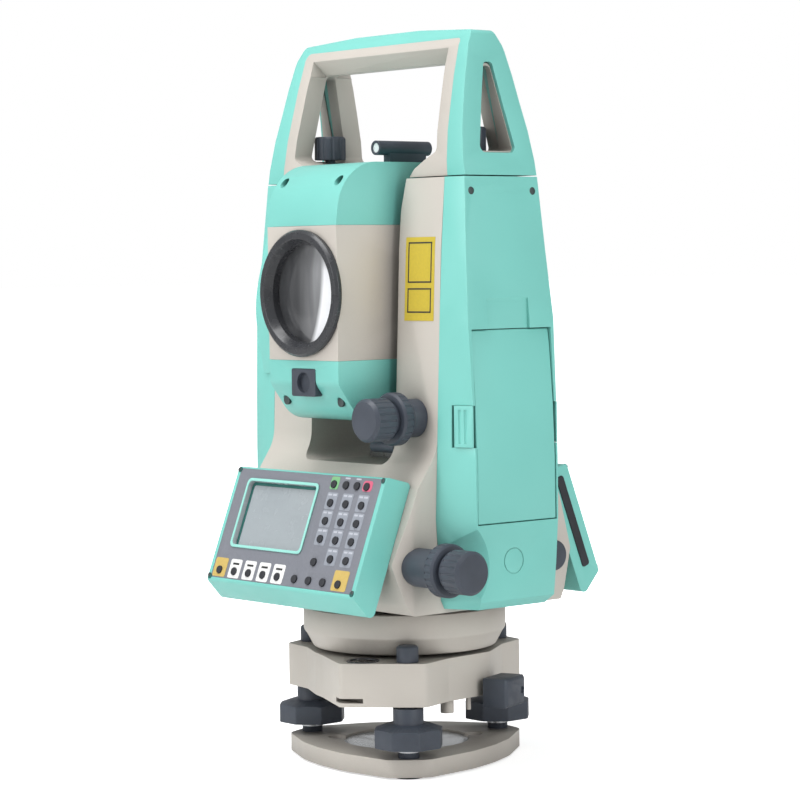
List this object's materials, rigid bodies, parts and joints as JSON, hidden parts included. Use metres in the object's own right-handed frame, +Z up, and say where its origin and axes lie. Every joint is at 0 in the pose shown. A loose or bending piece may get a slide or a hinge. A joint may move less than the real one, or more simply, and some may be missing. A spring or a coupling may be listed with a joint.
{
  "type": "surveying total station",
  "caption": "Electronic surveying instrument: telescope tilting between two standards, twin sloping keyboards, carrying handle, and a three-screw levelling head with a tripod thread.",
  "frame": {"origin": "centre of the tripod thread at the base plate's underside, on the vertical axis", "axes": "+Z up along the vertical axis, -Y the way the telescope's objective looks, +X the battery side"},
  "size_m": [0.183, 0.1554, 0.3522],
  "materials": {
    "mint_shell": "satin mint-green enamel with a fine texture",
    "grey_casting": "satin warm light grey enamel with a fine texture",
    "dark_plastic": "dark blue-grey moulded plastic, fine grain",
    "black_bezel": "smooth black, satin gloss",
    "lens_glass": "coated optical glass",
    "vial_glass": "clear vial with tinted liquid",
    "steel": "turned and ground steel",
    "brass": "turned brass",
    "spring_steel": "bright rolled spring steel",
    "face_grey": "flat mid-grey printed sheet",
    "lcd": "pale liquid crystal behind a clear window",
    "key_rubber": "dark silicone",
    "board": "green glass-fibre board",
    "pad_rubber": "dark rubber"
  },
  "bodies": {
    "base_plate_group": {"base_plate": "grey_casting", "base_feet": "pad_rubber", "spring_plate": "spring_steel"},
    "foot_screw_front_body": {"foot_screw_front": "dark_plastic"},
    "foot_screw_right_body": {"foot_screw_right": "dark_plastic"},
    "foot_screw_left_body": {"foot_screw_left": "dark_plastic"},
    "tribrach": {"tribrach_body": "grey_casting", "foot_screw_bushes": "brass", "foot_screw_caps": "dark_plastic", "circular_level_cup": "black_bezel", "circular_level_vial": "vial_glass", "base_flange": "grey_casting", "vertical_axis": "steel", "horizontal_circle": "lens_glass"},
    "lock_knob_body": {"lock_knob": "dark_plastic"},
    "lock_plate_body": {"lock_plate": "steel"},
    "alidade": {"alidade_frame": "grey_casting", "axis_bearing": "brass", "left_side_cover": "mint_shell", "right_side_cover": "mint_shell", "case_screws": "steel", "plate_level_housing": "steel", "plate_level_vial": "vial_glass", "data_port_cap": "dark_plastic", "circuit_board": "board", "trunnion_bearings": "steel", "knob_sleeves": "dark_plastic", "front_panel_case": "mint_shell", "front_faceplate": "face_grey", "front_display": "lcd", "rear_panel_case": "mint_shell", "rear_faceplate": "face_grey", "rear_display": "lcd"},
    "battery": {"battery_pack": "mint_shell"},
    "latch_front": {"battery_latch_front": "mint_shell"},
    "latch_rear": {"battery_latch_rear": "mint_shell"},
    "handle": {"handle_frame": "grey_casting", "handle_shell": "mint_shell"},
    "handle_screw_left_body": {"handle_screw_left": "dark_plastic"},
    "handle_screw_right_body": {"handle_screw_right": "dark_plastic"},
    "telescope": {"telescope_body": "grey_casting", "telescope_top_cover": "mint_shell", "telescope_bottom_cover": "mint_shell", "telescope_cover_screws": "steel", "trunnion_axle": "steel", "vertical_circle": "lens_glass", "objective_bezel": "black_bezel", "objective_lens": "lens_glass", "sight_tube": "dark_plastic", "guide_light_window": "dark_plastic"},
    "focusing": {"focusing_ring": "dark_plastic"},
    "eyepiece": {"eyepiece_ring": "dark_plastic", "eyepiece_lens": "lens_glass"},
    "vertical_clamp": {"vertical_clamp_ring": "dark_plastic"},
    "vertical_tangent": {"vertical_tangent_knob": "dark_plastic"},
    "horizontal_clamp": {"horizontal_clamp_ring": "dark_plastic"},
    "horizontal_tangent": {"horizontal_tangent_knob": "dark_plastic"},
    "front_keys": {"front_keypad": "key_rubber"},
    "rear_keys": {"rear_keypad": "key_rubber"},
    "port_flap": {"port_cover": "key_rubber"}
  },
  "joints": [
    {"name": "foot_screw_front_turn", "type": "hinge", "parent": "base_plate_group", "child": "foot_screw_front_body", "pos_m": [0.04156, -0.03353, 0.02], "axis": [0, 0, 1], "range_deg": [-481, 1441]},
    {"name": "foot_screw_right_turn", "type": "hinge", "parent": "base_plate_group", "child": "foot_screw_right_body", "pos_m": [0.00826, 0.05276, 0.02], "axis": [0, 0, 1], "range_deg": [-481, 1441]},
    {"name": "foot_screw_left_turn", "type": "hinge", "parent": "base_plate_group", "child": "foot_screw_left_body", "pos_m": [-0.04982, -0.01922, 0.02], "axis": [0, 0, 1], "range_deg": [-481, 1441]},
    {"name": "levelling_lift", "type": "slide", "parent": "base_plate_group", "child": "tribrach", "axis": [0, 0, 1], "range_m": [-0.001, 0.003]},
    {"name": "lock_knob_turn", "type": "hinge", "parent": "tribrach", "child": "lock_knob_body", "pos_m": [0.04665, 0.018, 0.036], "axis": [0.933, 0.36, 0], "range_deg": [0, 180]},
    {"name": "lock_plate_turn", "type": "hinge", "parent": "tribrach", "child": "lock_plate_body", "pos_m": [0, 0, 0.043], "axis": [0, 0, 1], "range_deg": [0, 30]},
    {"name": "alidade_turn", "type": "hinge", "parent": "tribrach", "child": "alidade", "pos_m": [0, 0, 0.1], "axis": [0, 0, 1], "continuous": true},
    {"name": "telescope_tilt", "type": "hinge", "parent": "alidade", "child": "telescope", "pos_m": [0, 0, 0.2282], "axis": [1, 0, 0], "continuous": true},
    {"name": "focus_turn", "type": "hinge", "parent": "telescope", "child": "focusing", "pos_m": [0, 0.048, 0.2282], "axis": [0, 1, 0], "range_deg": [-90, 180]},
    {"name": "eyepiece_turn", "type": "hinge", "parent": "telescope", "child": "eyepiece", "pos_m": [0, 0.06, 0.2282], "axis": [0, 1, 0], "range_deg": [-90, 90]},
    {"name": "vertical_clamp_turn", "type": "hinge", "parent": "alidade", "child": "vertical_clamp", "pos_m": [0.046, -0.042, 0.1695], "axis": [0, -1, 0], "range_deg": [0, 60]},
    {"name": "vertical_tangent_turn", "type": "hinge", "parent": "alidade", "child": "vertical_tangent", "pos_m": [0.046, -0.055, 0.1695], "axis": [0, -1, 0], "range_deg": [-1080, 1080]},
    {"name": "horizontal_clamp_turn", "type": "hinge", "parent": "alidade", "child": "horizontal_clamp", "pos_m": [0.081, -0.043, 0.1015], "axis": [1, 0, 0], "range_deg": [0, 60]},
    {"name": "horizontal_tangent_turn", "type": "hinge", "parent": "alidade", "child": "horizontal_tangent", "pos_m": [0.092, -0.043, 0.1015], "axis": [1, 0, 0], "range_deg": [-1080, 1080]},
    {"name": "battery_release", "type": "slide", "parent": "alidade", "child": "battery", "axis": [1, 0, 0], "range_m": [0, 0.06]},
    {"name": "battery_latch_front_press", "type": "slide", "parent": "alidade", "child": "latch_front", "axis": [-1, 0, 0], "range_m": [0, 0.0015]},
    {"name": "battery_latch_rear_press", "type": "slide", "parent": "alidade", "child": "latch_rear", "axis": [-1, 0, 0], "range_m": [0, 0.0015]},
    {"name": "handle_lift", "type": "slide", "parent": "alidade", "child": "handle", "axis": [0, 0, 1], "range_m": [0, 0.08]},
    {"name": "handle_screw_left_turn", "type": "hinge", "parent": "handle", "child": "handle_screw_left_body", "pos_m": [-0.0525, 0, 0.29], "axis": [0, 0, 1], "range_deg": [0, 1440]},
    {"name": "handle_screw_right_turn", "type": "hinge", "parent": "handle", "child": "handle_screw_right_body", "pos_m": [0.0525, 0, 0.29], "axis": [0, 0, 1], "range_deg": [0, 1440]},
    {"name": "front_keys_press", "type": "slide", "parent": "alidade", "child": "front_keys", "axis": [0, 0.9317, -0.3633], "range_m": [0, 0.0008]},
    {"name": "rear_keys_press", "type": "slide", "parent": "alidade", "child": "rear_keys", "axis": [0, -0.9317, -0.3633], "range_m": [0, 0.0008]},
    {"name": "port_cover_swing", "type": "hinge", "parent": "alidade", "child": "port_flap", "pos_m": [0.0569, 0.05184, 0.137], "axis": [0, -0.9317, -0.3633], "range_deg": [0, 100]}
  ],
  "couplings": [
    {"joint": "foot_screw_front_turn", "follows": "levelling_lift", "rad_per_m": 8377.6},
    {"joint": "foot_screw_right_turn", "follows": "levelling_lift", "rad_per_m": 8377.6},
    {"joint": "foot_screw_left_turn", "follows": "levelling_lift", "rad_per_m": 8377.6},
    {"joint": "lock_plate_turn", "follows": "lock_knob_turn", "ratio": 0.16667}
  ]
}
